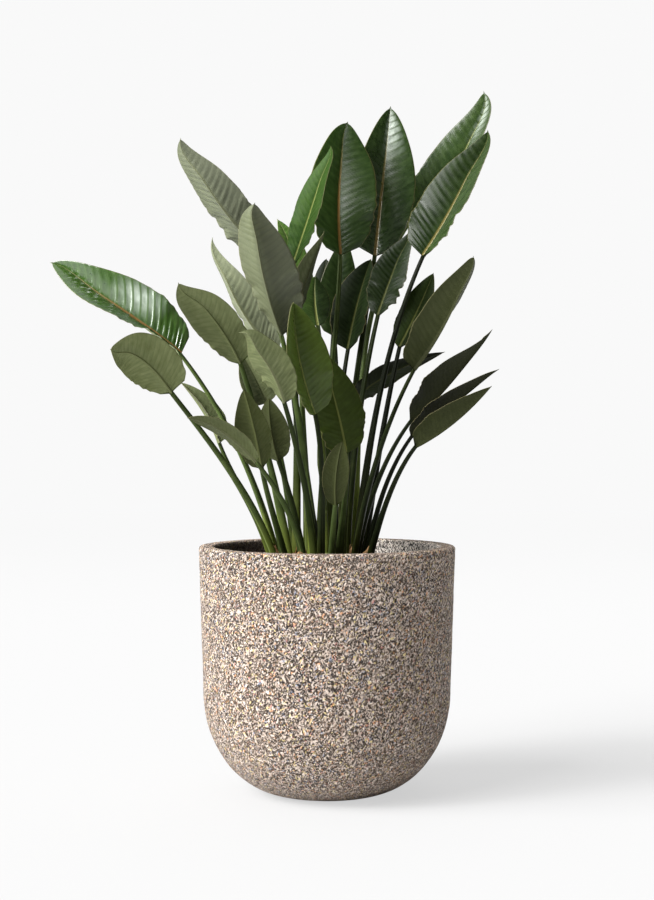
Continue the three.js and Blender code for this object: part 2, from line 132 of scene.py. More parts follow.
LEAVES = [
    grow("far_left_glossy", (-62, -14), (-220, -40, 665), (-306, -30, 730), (-422, 0, 806),
         width=98, turn=66, fold=48, belly=0.5, point=0.72, wave=2.5, twist=-60, skew=0.06, lean=-0.12,
         hook=-5, ridge=0.9, rib=1.5, tone=1.5, stem=2.2, warm=-0.5, red=0.8, gloss=1.0),
    grow("left_round", (-69, -42), (-227, -115, 606), (-263, -175, 651), (-302, -225, 664),
         width=74, turn=180, fold=10, belly=0.41, point=0.6, wave=2.0, skew=-0.12, lean=0.05, bow=(16, 0),
         hook=-5, ridge=0.15, drip=0.6, tone=1.38, stem=1.4, warm=0.2),
    grow("high_left", (-45, -22), (-97, -50, 817), (-162, -85, 889), (-213, -110, 977),
         width=80, turn=138, fold=28, belly=0.4, point=0.62, wave=3.0, hook=-9,
         ridge=0.8, tone=0.86, halves=0.21, stem=0.8, gloss=0.9),
    grow("tall_left_front", (-17, -58), (-66, -135, 688), (-94, -165, 785), (-102, -175, 874),
         width=84, turn=169, fold=36, belly=0.49, point=0.62, wave=3.0, skew=-0.21, lean=0.13, hook=-5,
         ridge=0.3, tone=0.57, halves=0.36, stem=1.9, warm=0.35, gloss=0.85),
    grow("slim_left", (-27, -31), (-75, -65, 667), (-130, -95, 736), (-166, -115, 832),
         width=64, turn=137, fold=43, point=0.85, wave=2.0, hook=-8,
         ridge=0.45, tone=1.43, stem=1.25, gloss=0.9),
    grow("mid_left", (-50, -46), (-127, -105, 649), (-161, -150, 708), (-210, -190, 760),
         width=62, turn=180, fold=14, belly=0.46, point=0.64, wave=2.5, lean=0.07, hook=-6,
         tone=1.16, halves=-0.1, stem=1.65, warm=0.2),
    grow("front_left_hook", (-15, -79), (-60, -205, 590), (-83, -238, 643), (-122, -252, 685),
         width=62, turn=147, fold=33, belly=0.44, point=0.8, wave=2.0, bow=(6, 0), hook=8,
         ridge=0.45, tone=0.94, halves=0.13, stem=0.56, warm=0.1, gloss=0.8),
    grow("behind_left", (-42, 4), (-91, -15, 592), (-107, -25, 627), (-131, -35, 671),
         width=54, turn=20, fold=15,
         tone=1.14, halves=0.49, stem=1.6, dull=True),
    grow("low_left", (-52, -67), (-94, -150, 497), (-104, -165, 551), (-119, -170, 610),
         width=56, turn=206, fold=28, belly=0.44, point=0.7,
         ridge=0.3, drip=0.5, tone=0.56, halves=-0.3, stem=1.2, warm=0.6),
    grow("low_left_small", (-33, -49), (-71, -110, 507), (-81, -120, 551), (-84, -125, 598),
         width=52, turn=168, fold=32, point=0.7, wave=1.0, bow=(6, 0),
         tone=0.37, halves=-0.12, stem=0.62, warm=0.6),
    grow("low_left_arched", (-28, -98), (-100, -195, 506), (-147, -215, 550), (-194, -235, 568),
         width=44, turn=126, fold=20, belly=0.4, point=0.8, wave=1.0, bow=(12, 0),
         tone=0.6, stem=1.2, warm=0.3, gloss=0.8),
    grow("left_folded", (-61, 8), (-165, 15, 531), (-186, 5, 575), (-223, -5, 624),
         width=56, turn=65, fold=45,
         tone=1.68, halves=0.55, stem=1.8, dull=True),
    grow("upper_left_green", (-13, 6), (-51, -10, 803), (-20, 5, 899), (5, 20, 987),
         width=54, turn=-42, fold=30, point=0.8, wave=2.0, hook=-6,
         ridge=0.3, halves=-0.14, warm=-0.5, gloss=0.05),
    grow("top_broad", (-9, 35), (21, 70, 825), (19, 85, 932), (33, 95, 1037),
         width=116, turn=13, fold=36, point=0.62, wave=3.0, skew=0.04, bow=(-10, 0), hook=3,
         ridge=0.22, rib=0.8, tone=0.88, halves=-0.35, warm=-0.2, red=0.7, gloss=0.4),
    grow("top_centre", (20, 55), (76, 115, 828), (88, 130, 938), (102, 140, 1070),
         width=104, turn=6, fold=28, belly=0.44, point=0.64, wave=2.0, lean=0.04, bow=(-8, 0),
         ridge=0.22, tone=0.65, halves=0.15, stem=0.6, warm=-0.1, red=0.5, gloss=0.6),
    grow("top_right_back", (39, 66), (133, 150, 885), (208, 170, 971), (255, 190, 1104),
         width=100, turn=-36, fold=38, belly=0.4, point=0.62, wave=2.0, hook=-10,
         ridge=0.35, tone=0.9, halves=-0.1, stem=2.1, gloss=0.7),
    grow("top_right_front", (38, 4), (147, 10, 817), (198, 20, 904), (247, 30, 1013),
         width=97, turn=-47, fold=38, belly=0.36, point=0.68, wave=2.4, twist=8, skew=-0.08, hook=-8,
         ridge=0.7, rib=1.2, tone=0.59, halves=0.25, stem=0.15, red=0.35, gloss=0.4),
    grow("centre_waved", (24, 20), (79, 45, 729), (101, 55, 791), (128, 60, 861),
         width=64, turn=-31, fold=31, belly=0.46, point=0.8, wave=4.0, hook=-4,
         ridge=0.6, tone=0.39, stem=0.55, gloss=0.3),
    grow("centre_dark", (12, 37), (33, 85, 678), (49, 100, 752), (70, 110, 823),
         width=78, turn=-36, fold=36, belly=0.44, point=0.72, wave=2.0, bow=(-6, 0),
         ridge=0.3, tone=0.25, halves=0.45, stem=0.2, gloss=0.05),
    grow("back_upright", (0, 54), (10, 120, 702), (18, 140, 776), (29, 155, 866),
         width=62, turn=0, fold=15, wave=2.0,
         tone=0.45, stem=0.2),
    grow("back_small", (3, 75), (7, 165, 737), (-3, 185, 788), (-1, 200, 832),
         width=40, turn=-20, fold=15, point=0.72, wave=1.0,
         tone=0.14, stem=0.3, gloss=0.05),
    grow("edge_dark", (-7, -41), (-53, -68, 692), (-33, -54, 770), (-4, -44, 849),
         width=58, turn=245, fold=25, point=0.85, hook=4,
         tone=0.61, halves=0.3, stem=0.25),
    grow("back_left", (-25, 22), (-42, 60, 707), (-50, 80, 810), (-79, 95, 884),
         width=52, turn=30, fold=18, point=0.8, wave=2.5,
         tone=3.0, stem=1.5),
    grow("centre_short", (6, -3), (-14, 35, 712), (-19, 48, 753), (-18, 58, 791),
         width=46, turn=10, fold=15, belly=0.44,
         tone=0.81, halves=-0.45, stem=0.9),
    grow("front_centre", (-10, -98), (-17, -162, 573), (-40, -172, 654), (-48, -166, 734),
         width=88, turn=41, fold=41, point=0.64,
         ridge=0.3, rib=0.4, tone=1.18, halves=-0.23, stem=0.45, warm=0.45, gloss=0.45),
    grow("front_right_low", (11, -40), (28, -115, 518), (13, -125, 587), (-10, -125, 667),
         width=76, turn=22, fold=22, point=0.72, wave=3.0,
         ridge=0.25, rib=0.7, tone=0.55, halves=-0.16, stem=1.15, warm=0.5, gloss=0.05),
    grow("right_folded", (31, -37), (128, -95, 640), (176, -120, 715), (210, -145, 802),
         width=88, turn=250, fold=42, belly=0.34, point=0.58, wave=2.0, twist=-28, hook=6,
         ridge=0.35, drip=0.3, tone=0.35, stem=0.45, warm=0.5, gloss=0.8),
    grow("right_behind", (43, 25), (112, 35, 679), (142, 50, 739), (166, 60, 796),
         width=54, turn=-36, fold=30, bow=(14, 0),
         tone=0.35, halves=-0.4, stem=0.13, warm=0.2, gloss=0.05),
    grow("back_right_low", (4, 18), (41, 56, 593), (94, 72, 636), (186, 84, 674),
         width=54, turn=-52, fold=15, belly=0.44, point=0.8,
         tone=0.1, halves=0.3, stem=0.3, warm=0.4, gloss=0.05),
    grow("right_upper", (33, -16), (126, -40, 565), (184, -25, 620), (251, -10, 704),
         width=92, turn=248, fold=32, belly=0.4, point=1.1, wave=2.0, hook=3,
         tone=0.16, stem=0.35, warm=0.8, gloss=0.8),
    grow("right_lower", (46, -54), (129, -130, 528), (184, -155, 564), (234, -180, 614),
         width=66, turn=238, fold=42, belly=0.4, point=0.8, bow=(10, 0),
         tone=0.22, stem=0.25, warm=0.7),
    grow("front_small", (9, -92), (12, -178, 445), (13, -186, 492), (22, -183, 536),
         width=38, turn=190, fold=15, belly=0.46, wave=0.8, bow=(-6, 0),
         drip=0.3, tone=0.3, halves=-0.22, stem=1.25, warm=0.7),
    grow("right_middle", (50, -32), (125, -85, 542), (183, -100, 588), (251, -115, 640),
         width=66, turn=256, fold=36, point=0.85, hook=-4,
         tone=0.12, stem=0.1, warm=0.8),
]
YOUNG_LEAF = grow("young_leaf", (3, -69), (-6, -80, 470), (-8, -83, 520), (-9, -84, 568), thick=6.5)


# Node trees

def math_node(operation):
    """A method of values that adds a math node."""
    def method(*values):
        return calc(operation, *values)
    return method


class Value:
    """A node's output. Sums, products and the like of values are math nodes in the same tree."""

    def __init__(self, socket):
        self.socket = socket
        self.tree = socket.id_data

    __add__ = math_node("ADD")
    __sub__ = math_node("SUBTRACT")
    __mul__ = math_node("MULTIPLY")
    __truediv__ = math_node("DIVIDE")
    __pow__ = math_node("POWER")
    __abs__ = math_node("ABSOLUTE")


def node(tree, kind, inputs=(), out=0, **settings):
    """Adds a node with these settings and inputs (numbers or values), and returns one of its outputs."""
    made = tree.nodes.new("ShaderNode" + kind)
    for key, value in settings.items():
        setattr(made, key, value)
    for key, value in dict(inputs).items():
        if isinstance(value, Value):
            tree.links.new(value.socket, made.inputs[key])
        else:
            made.inputs[key].default_value = value
    return Value(made.outputs[out]) if made.outputs else None


def calc(operation, first, second=0.0, third=0.0):
    return node(first.tree, "Math", {0: first, 1: second, 2: third}, operation=operation)


def remap(value, low, high, new_low=0.0, new_high=1.0, **settings):
    return node(value.tree, "MapRange", {0: value, 1: low, 2: high, 3: new_low, 4: new_high}, **settings)


def parts(value, kind="SeparateXYZ"):
    """The three parts of a vector, or of a colour."""
    split = value.tree.nodes.new("ShaderNode" + kind)
    value.tree.links.new(value.socket, split.inputs[0])
    return [Value(output) for output in split.outputs]


def opaque(colour):
    return colour if isinstance(colour, Value) else (*colour, 1)


def mixed(share, first, second, blend="MIX"):
    """Two colours mixed by a share, or blended another way."""
    colour_output = 2
    return node(share.tree, "Mix", {0: share, 6: opaque(first), 7: opaque(second)}, colour_output,
                data_type="RGBA", blend_type=blend)


def ramp(value, stops, interpolation="LINEAR"):
    """A colour ramp over (place, colour) stops."""
    made = value.tree.nodes.new("ShaderNodeValToRGB")
    made.color_ramp.interpolation = interpolation
    elements = made.color_ramp.elements
    while len(elements) < len(stops):
        elements.new(0.5)
    for element, (place, colour) in zip(elements, stops):
        element.position = place
        element.color = opaque(colour)
    value.tree.links.new(value.socket, made.inputs[0])
    return Value(made.outputs[0])


def noise_of(place, scale, detail=2.0, out=0):
    return node(place.tree, "TexNoise", {"Vector": place, "Scale": scale, "Detail": detail}, out)


def cells_of(place, scale, out, feature="F1"):
    return node(place.tree, "TexVoronoi", {"Vector": place, "Scale": scale}, out, feature=feature)


def new_material(name, **constants):
    """A material, its shader with these constant sockets, and the object's own coordinates in metres."""
    material = bpy.data.materials.new(name)
    material.use_nodes = True
    shader = material.node_tree.nodes["Principled BSDF"]
    for key, value in constants.items():
        shader.inputs[key.replace("_", " ")].default_value = value
    return material, shader, node(material.node_tree, "TexCoord", out="Object")


def feed(shader, **values):
    """Joins values to the shader's sockets of these names."""
    for key, value in values.items():
        value.tree.links.new(value.socket, shader.inputs[key.replace("_", " ")])


def bump(height, depth, strength=1.0):
    """A height as relief of the surface. depth is in metres."""
    return node(height.tree, "Bump", {"Height": height, "Distance": depth, "Strength": strength})


# Leaf materials. Every leaf's mesh carries three vectors, and LEAF_VECTORS names their parts. A leaf's gloss
# says which materials it gets.

WET_GLOSS = 0.95
SHEEN_GLOSS = 0.85
HIGH_GLOSS = 0.5
LOW_GLOSS = 0.1
LEAF_VECTORS = {"blade": ("along", "across", "vein"), "look": ("tone", "warm", "rib"),
                "finish": ("red", "gloss", "seed")}
UPPER_GREENS = [(0.3, (0.010, 0.024, 0.004)), (0.52, (0.018, 0.038, 0.007)), (0.75, (0.034, 0.064, 0.013))]
UNDER_GREENS = [(0.3, (0.078, 0.092, 0.040)), (0.55, (0.106, 0.122, 0.056)), (0.8, (0.142, 0.157, 0.080))]
STALK_GREENS = [(0.3, (0.018, 0.027, 0.007)), (0.6, (0.030, 0.043, 0.012)), (0.8, (0.052, 0.066, 0.020))]
# Reach of the painted highlight patch of glare, along and across the blade, as shares.
GLARE_PATCH_LENGTH = 0.2
GLARE_PATCH_WIDTH = 0.55


def leaf_values(tree):
    """What a leaf's mesh says of the place that is shaded, by name."""
    at = SimpleNamespace()
    for attribute, names in LEAF_VECTORS.items():
        vector = node(tree, "Attribute", out="Vector", attribute_name=attribute)
        for name, part in zip(names, parts(vector)):
            setattr(at, name, part)
    return at


def leaf_place(at, along_scale, across_scale):
    """Coordinates that run along the side veins, different for each leaf."""
    place = {0: at.across * across_scale, 1: at.vein * along_scale, 2: at.seed}
    return node(at.vein.tree, "CombineXYZ", place)


def vein_lines(at, per_vein, sharpness):
    """1 on each vein and 0 between veins."""
    return abs(calc("COSINE", at.vein * (math.pi * per_vein))) ** sharpness


def fine_veins(at, height):
    """Fine lines between the side veins, which fade towards the tip."""
    return vein_lines(at, 5, 2) * remap(at.along, 0.6, 0.9, height, 0.0)


def toned(colour, at, brightest=4.0):
    """A colour made warmer or fresher, and brighter, by the leaf's looks, whose tone is partly painted shade.
    """
    warm = mixed(at.warm * 0.5, colour, (0.10, 0.12, 0.015))
    warm = mixed(at.warm * -0.5, warm, (0.022, 0.072, 0.005))
    tone = calc("MINIMUM", at.tone, brightest)
    return node(warm.tree, "HueSaturation", {"Color": warm, "Value": tone, "Fac": 1.0})


def dry_margin(at, colour, start, dry):
    """A colour with a thin dry margin, which starts at a share of the half's width."""
    return mixed(remap(abs(at.across), start, 1.0) ** 2 * 0.5, colour, dry)


def upper_side_material(name, shine, roughness, grain=0.8, glare_patch=None):
    """The waxy upper side. The last argument, if given, is the middle (along, across) and the strength of a
    pale patch of painted glare.
    """
    material, shader, _ = new_material(name, Specular_IOR_Level=shine)
    at = leaf_values(material.node_tree)
    streaks = noise_of(leaf_place(at, 0.55, 1.6), 2.2, 5.0)
    patches = noise_of(leaf_place(at, 0.06, 1.2), 1.4, 3.0)
    green = mixed(remap(patches, 0.35, 0.75, 0.0, 0.4), ramp(streaks, UPPER_GREENS), (0.036, 0.058, 0.011))
    lines = vein_lines(at, 1, 14)
    green = mixed(lines * 0.18, green, (0.060, 0.095, 0.025))
    rib = mixed(at.red, (0.20, 0.24, 0.07), (0.26, 0.085, 0.022))
    rib = mixed(remap(at.along, 0.45, 0.9), rib, (0.20, 0.22, 0.09))
    green = mixed(at.rib, toned(green, at), toned(rib, at, 0.9))
    if glare_patch:
        # A pale patch painted on the blade as a highlight where glare would be.
        along, across, strength = glare_patch
        painted_glare = remap(abs(at.along - along), 0.0, GLARE_PATCH_LENGTH, strength, 0.0)
        painted_glare = painted_glare * remap(abs(at.across - across), 0.1, GLARE_PATCH_WIDTH, 1.0, 0.0)
        painted_glare = painted_glare * remap(lines, 0.0, 0.6, 1.0, 0.2) * remap(streaks, 0.3, 0.6, 0.5, 1.0)
        green = mixed(painted_glare, green, (0.46, 0.52, 0.45))
    green = dry_margin(at, green, 0.965, (0.16, 0.13, 0.05))
    rough = remap(streaks, 0.3, 0.8, roughness, roughness + 0.14) - at.gloss * 0.16
    height = fine_veins(at, 0.35) + streaks * remap(at.along, 0.5, 0.9, grain, 0.1)
    feed(shader, Base_Color=green, Roughness=rough, Normal=bump(height, 0.25 * MM, 0.7))
    return material


def under_side_material(name, shine, sheen_grey):
    """The matt underside. The last argument is how much greyer and paler it is painted at a high gloss, as
    painted sheen.
    """
    material, shader, _ = new_material(name, Specular_IOR_Level=shine)
    at = leaf_values(material.node_tree)
    streaks = noise_of(leaf_place(at, 0.5, 1.4), 2.0, 5.0)
    patches = noise_of(leaf_place(at, 0.05, 1.0), 1.3, 3.0)
    green = mixed(remap(patches, 0.35, 0.75, 0.0, 0.45), ramp(streaks, UNDER_GREENS), (0.128, 0.146, 0.078))
    # Greyer and paler at a high gloss: painted sheen, besides the real shine.
    green = mixed(remap(at.gloss, 0.8, 1.0, 0.0, 2 * sheen_grey), green, (0.128, 0.134, 0.112))
    green = mixed(vein_lines(at, 1, 10) * lerp(0.25, 0.5, sheen_grey), green, (0.044, 0.056, 0.022))
    rib = mixed(at.gloss, (0.070, 0.080, 0.034), (0.165, 0.178, 0.095))
    green = mixed(at.rib, toned(green, at), toned(rib, at, 1.5))
    green = dry_margin(at, green, 0.96, (0.18, 0.155, 0.08))
    rough = remap(streaks, 0.3, 0.8, 0.48, 0.62)
    height = fine_veins(at, 0.5) + streaks * 0.6
    feed(shader, Base_Color=green, Roughness=rough, Normal=bump(height, 0.3 * MM, 0.7))
    return material


def stalk_material():
    """Fibrous green, yellower low down, where sheath edges wind round it as painted rim light and shadow."""
    material, shader, place = new_material("leaf_stalk", Specular_IOR_Level=0.05)
    at = leaf_values(material.node_tree)
    fibres = noise_of(node(place.tree, "Mapping", {"Vector": place, "Scale": (1, 1, 0.12)}), 700.0, 3.0)
    blotches = noise_of(place, 30.0, 3.0)
    green = mixed(remap(fibres, 0.35, 0.7, 0.0, 0.35), ramp(blotches, STALK_GREENS), (0.014, 0.021, 0.006))
    green = mixed(remap(at.along, -1.0, -0.62, 1.0, 0.0) * 0.75, green, (0.15, 0.18, 0.028))
    climb = calc("MULTIPLY_ADD", at.along, -2.2, at.vein)
    wrap = calc("FRACT", calc("MULTIPLY_ADD", climb, 1 / math.pi, at.seed)) - 0.5
    # Each sheath edge: a pale line of painted rim light and, beside it, a band of painted shadow.
    painted_edge_light = remap(abs(wrap), 0.02, 0.055, 1.0, 0.0)
    painted_edge_shadow = remap(wrap, 0.03, 0.3, 1.0, 0.0) * calc("GREATER_THAN", wrap, 0.03)
    reach = remap(at.along, -0.75, -0.45, 1.0, 0.0) * 0.6
    green = mixed(painted_edge_shadow * reach, green, (0.006, 0.010, 0.002))
    green = mixed(painted_edge_light * reach, green, (0.15, 0.19, 0.06))
    feed(shader, Base_Color=toned(green, at), Roughness=remap(blotches, 0.3, 0.7, 0.34, 0.5),
         Normal=bump(fibres, 0.25 * MM, 0.6))
    return material


# Pot, soil and husk materials. Of the chips' colours, each starts at its place and ends at the next one's.

CHIPS_PER_METRE = 500.0
CHIP_LENGTH = 1.7
CHIP_RELIEF = 1.9 * MM
WANDER = 12 * MM
CHIP_COLOURS = [(0.0, (0.14, 0.096, 0.070)), (0.14, (0.31, 0.24, 0.195)), (0.35, (0.43, 0.35, 0.292)),
                (0.68, (0.51, 0.43, 0.366)), (0.90, (0.63, 0.54, 0.465))]
RARE_SHARE = 0.18
RARE_COLOURS = [(0.0, (0.55, 0.25, 0.10)), (0.05, (0.58, 0.47, 0.18)), (0.11, (0.32, 0.11, 0.10)),
                (0.13, (0.18, 0.22, 0.31))]
SPECKS_PER_METRE = 430.0
SPECK_LENGTH = 2.3
SPECK_SIZE = 0.49
SPECK_SHARE = 0.88
SOIL_BROWNS = [(0.3, (0.006, 0.004, 0.003)), (0.55, (0.020, 0.012, 0.007)), (0.75, (0.060, 0.034, 0.018))]
GRAVEL_GREYS = [(0.0, (0.12, 0.10, 0.085)), (0.5, (0.30, 0.27, 0.24)), (1.0, (0.50, 0.46, 0.41))]
STONES_PER_METRE = 110.0


def laid_along(skin, turn, length):
    """The pot's skin stretched along one direction, so that what is drawn on it lies that way."""
    turned = {"Vector": skin, "Rotation": (0, 0, math.radians(turn)), "Scale": (length, 1, 1)}
    return node(skin.tree, "Mapping", turned, vector_type="TEXTURE")


def specks(skin, turn):
    """Dark gaps: slim specks at some of the points of a scatter, all lying one way."""
    laid = laid_along(skin, turn, SPECK_LENGTH)
    draw, girth, _ = parts(cells_of(laid, SPECKS_PER_METRE, "Color"), "SeparateColor")
    size = remap(girth, 0.0, 1.0, 0.25, SPECK_SIZE)
    spot = remap(cells_of(laid, SPECKS_PER_METRE, "Distance") / size, 0.95, 1.05, 1.0, 0.0)
    return spot * calc("LESS_THAN", draw, SPECK_SHARE)


def aggregate_material():
    """Fine chips of many colours, washed clean, with dark gaps between them, and painted light and shade."""
    material, shader, place = new_material("washed_aggregate", Specular_IOR_Level=0.3)
    x, y, z = parts(place)
    reach = calc("SQRT", x * x + y * y)
    skin = node(place.tree, "CombineXYZ", {0: calc("ARCTAN2", y, x) * (RIM_RADIUS * MM), 1: z, 2: reach})
    aside = noise_of(place, 70.0, 2.0, "Color")
    aside = node(place.tree, "VectorMath", {0: aside, 1: [0.5] * 3}, operation="SUBTRACT")
    skin = node(place.tree, "VectorMath", {0: aside, 1: [WANDER] * 3, 2: skin}, operation="MULTIPLY_ADD")
    laid = laid_along(skin, 40, CHIP_LENGTH)
    pick, tint, lift = parts(cells_of(laid, CHIPS_PER_METRE, "Color"), "SeparateColor")
    near = cells_of(laid, CHIPS_PER_METRE, "Distance")
    colour = mixed(calc("LESS_THAN", tint, RARE_SHARE) * 0.75, ramp(pick, CHIP_COLOURS, "CONSTANT"),
                   ramp(tint, RARE_COLOURS, "CONSTANT"))
    inner = RIM_RADIUS - WALL
    inside = remap(reach, (inner - 1) * MM, (inner + 5) * MM, 1.0, 0.0)
    inside = inside * remap(z, (SOIL_TOP - 20) * MM, (SOIL_TOP - 10) * MM, 0.0, 0.8)
    # Painted light: the inner wall's band above the soil is paler on the right, where light from the left
    # reaches it over the rim.
    colour = mixed(inside * remap(x, -0.05, 0.08, 0.0, 1.2), colour, (0.98, 0.90, 0.82))
    # Near-black specks where the gaps sink between the chips: partly real sunk gaps, and partly painted shade
    # in those hollows.
    dark = calc("MAXIMUM", specks(skin, 38), specks(skin, -52))
    dark = calc("MAXIMUM", dark, specks(skin, 97) * 0.8)
    colour = mixed(dark * 0.97, colour, (0.012, 0.008, 0.006))
    clouds = noise_of(place, 12.0, 4.0)
    colour = mixed(remap(clouds, 0.35, 0.7, 0.0, 0.1), colour, (0.36, 0.26, 0.18))
    # Painted light: the rim's top is brighter, as light from above falls on it.
    painted_rim_light = remap(z, (POT_HEIGHT - 3) * MM, (POT_HEIGHT - 1) * MM)
    colour = mixed(painted_rim_light, colour, (1.35, 1.33, 1.3), blend="MULTIPLY")
    # Painted shade: the inner band is dark on the left, which faces away from the light.
    colour = mixed(inside * remap(x, -0.1, 0.05, 1.0, 0.0), colour, (0.05, 0.035, 0.028))
    height = lift * 0.4 - near * near - dark
    rough = remap(pick, 0.0, 1.0, 0.9, 0.7)
    feed(shader, Base_Color=colour, Roughness=rough, Normal=bump(height, CHIP_RELIEF))
    return material


def soil_material():
    material, shader, place = new_material("potting_soil", Specular_IOR_Level=0.2, Roughness=0.95)
    clods = noise_of(place, 130.0, 8.0)
    height = clods + cells_of(place, 420.0, "Distance") * 0.5
    feed(shader, Base_Color=ramp(clods, SOIL_BROWNS), Normal=bump(height, 2.5 * MM))
    return material


def bark_material(name, dark, mid, light, roughness=0.8):
    """Fibrous brown, for chips and husks. The tint attribute moves each piece between the colours."""
    material, shader, place = new_material(name, Roughness=roughness, Specular_IOR_Level=0.3)
    tint = node(place.tree, "Attribute", out="Fac", attribute_name="tint")
    fibres = noise_of(node(place.tree, "Mapping", {"Vector": place, "Scale": (1, 1, 0.2)}), 900.0, 4.0)
    colour = ramp(tint * 0.7 + fibres * 0.4, [(0.2, dark), (0.5, mid), (0.85, light)])
    feed(shader, Base_Color=colour, Normal=bump(fibres, 0.4 * MM, 0.8))
    return material


def gravel_material():
    material, shader, place = new_material("drainage_gravel", Roughness=0.85)
    stone = parts(cells_of(place, STONES_PER_METRE, "Color"), "SeparateColor")[0]
    edge = cells_of(place, STONES_PER_METRE, "Distance", feature="DISTANCE_TO_EDGE")
    feed(shader, Base_Color=ramp(stone, GRAVEL_GREYS), Normal=bump(remap(edge, 0.0, 0.3), 2 * MM))
    return material


# Curves and frames. Places are numpy rows of millimetres.

def unit(vectors):
    return vectors / np.linalg.norm(vectors, axis=-1, keepdims=True)


def lerp(low, high, share):
    return low + (high - low) * share


def follow(points, along):
    """Places and unit tangents of a Bezier curve at each share of its length parameter."""
    last = len(points) - 1
    t = np.asarray(along, float)[..., None]
    place = sum(math.comb(last, k) * (1 - t) ** (last - k) * t ** k * points[k] for k in range(last + 1))
    slope = sum(math.comb(last - 1, k) * (1 - t) ** (last - 1 - k) * t ** k * (points[k + 1] - points[k])
                for k in range(last))
    return place, unit(slope)


def midrib_points(leaf):
    base, mid, tip = (np.array(place, float) for place in (leaf.base, leaf.mid, leaf.tip))
    return [base, 2 * mid - (base + tip) / 2, tip]


def stalk_points(leaf):
    foot = np.array([*leaf.root, SOIL_TOP - ROOT_DEPTH], float)
    rib = midrib_points(leaf)
    lean = unit(rib[0] - foot)
    length = np.linalg.norm(rib[0] - foot)
    rise = unit(0.4 * lean + np.array([0, 0, 0.6]))
    neck = unit(unit(rib[1] - rib[0]) + NECK_STRAIGHTNESS * lean)
    bow = np.array([*leaf.bow, 0], float)
    return [foot, foot + rise * 0.36 * length + bow, rib[0] - neck * 0.3 * length + bow, rib[0]]


def stalk_radius(step):
    return np.interp(step, [0, 0.5, 1], [STALK_ROOT_RADIUS, STALK_MIDDLE_RADIUS, STALK_TOP_RADIUS])


def across(tangent, turn):
    """The directions of the upper side and sideways, for a midrib or stalk that runs along tangent."""
    front = np.array([0.0, -1.0, 0.0])
    front = unit(front - tangent * (tangent @ front)[..., None])
    side = np.cross(tangent, front)
    angle = np.radians(turn)[..., None]
    up = front * np.cos(angle) + side * np.sin(angle)
    return up, np.cross(tangent, up)


def ring_faces(count, size):
    """The faces between each of count rings of vertices and the next one. A ring has size vertices."""
    faces = []
    for row in range(count - 1):
        for column in range(size):
            following = (column + 1) % size
            low, high = row * size, (row + 1) * size
            faces.append((low + column, low + following, high + following, high + column))
    return faces


def placed(name, data):
    """A new object of the scene, from a mesh, a light or a camera."""
    made = bpy.data.objects.new(name, data)
    bpy.context.scene.collection.objects.link(made)
    return made


def mesh_piece(name, points, faces, materials, slots=None, smooth=True):
    """A new object from places in millimetres."""
    mesh = bpy.data.meshes.new(name)
    mesh.from_pydata((np.asarray(points) * MM).tolist(), [], faces)
    for material in materials:
        mesh.materials.append(material)
    if slots is not None:
        mesh.polygons.foreach_set("material_index", slots)
    mesh.polygons.foreach_set("use_smooth", [smooth] * len(mesh.polygons))
    mesh.validate()
    mesh.update()
    return placed(name, mesh)


def carry(piece, name, values):
    """Writes numbers, or rows of three, to the piece's vertices for its material to read."""
    values = np.asarray(values, np.float32)
    kind, field = ("FLOAT", "value") if values.ndim == 1 else ("FLOAT_VECTOR", "vector")
    attribute = piece.data.attributes.new(name, kind, "POINT")
    attribute.data.foreach_set(field, values.ravel())


# Leaves. HALF_SHARES are the places across a half of the blade, from midrib to margin, and the angles go
# round a stalk's section. RIDGE_RISE is the share across at which a vein's ridge has its full height,
# RIDGE_LOSS is what it loses towards the margin, NARROW is the half width in millimetres below which it gets
# lower, and TIP_CALM is the share before the tip where it fades. HOOK_SCALE makes the hook's curve peak at 1.

VEINS = 22
ROWS_PER_VEIN = 4
VEIN_PROFILE = np.array([1.0, 0.1, -1.0, 0.1])
HALF_SHARES = np.array([0.0, 0.035, 0.12, 0.25, 0.4, 0.56, 0.72, 0.86, 0.95, 1.0])
UPPER_ANGLES = np.radians(np.linspace(176, 4, 2 * len(HALF_SHARES) + 1))
UNDER_ANGLES = np.radians(np.linspace(-4, -176, 2 * len(HALF_SHARES) + 3))
STALK_STEPS = np.concatenate([[0.0], np.linspace(0.08, 1.0, 38)])
RIDGE_RISE = 0.12
RIDGE_LOSS = 0.75
NARROW = 26
TIP_CALM = 0.25
SWELL = 0.05
RAGGED = 0.012
HOOK_START = 0.6
HOOK_SCALE = 9.48
BODY_END = 0.985
DRIP_TIP_WIDTH = 0.17
DRIP_TIP_LENGTH = 0.08
SHEATH_SPREAD = 1.3
SHEATH_REACH = 0.55
CHANNEL_WIDTH = 0.42
UPPER_SLOT, UNDER_SLOT, STALK_SLOT = 0, 1, 2
SEED_STEP = 3.7


def outline(leaf, along, sign):
    """Half the blade's width at a share of its length, as a share of the widest."""
    power = math.log(0.5) / math.log(leaf.belly + sign * leaf.lean)
    bluntness = lerp(BASE_BLUNTNESS, leaf.point, np.minimum(1, along / 0.8))
    body = np.sin(np.pi * np.clip(along / BODY_END, 0, 1) ** power).clip(0, 1) ** bluntness
    spike = leaf.drip * DRIP_TIP_WIDTH * np.clip((1 - along) / DRIP_TIP_LENGTH, 0, 1) ** 1.1
    return np.maximum(body, spike)


def margin_wave(along, sign, seed):
    """The swing of the margin, which is strongest a little above the blade's base."""
    window = np.exp(-(((along - WAVE_PLACE) / WAVE_SPREAD) ** 2))
    phase = 0 if sign > 0 else 2.2
    slow = np.sin(2 * np.pi * WAVES_PER_BLADE * along + phase)
    quick = np.sin(2 * np.pi * 2.7 * WAVES_PER_BLADE * along + phase + seed)
    sharp = np.sin(2 * np.pi * 5.9 * WAVES_PER_BLADE * along + 2 * seed)
    return window * (slow + 0.5 * quick + 0.25 * sharp)


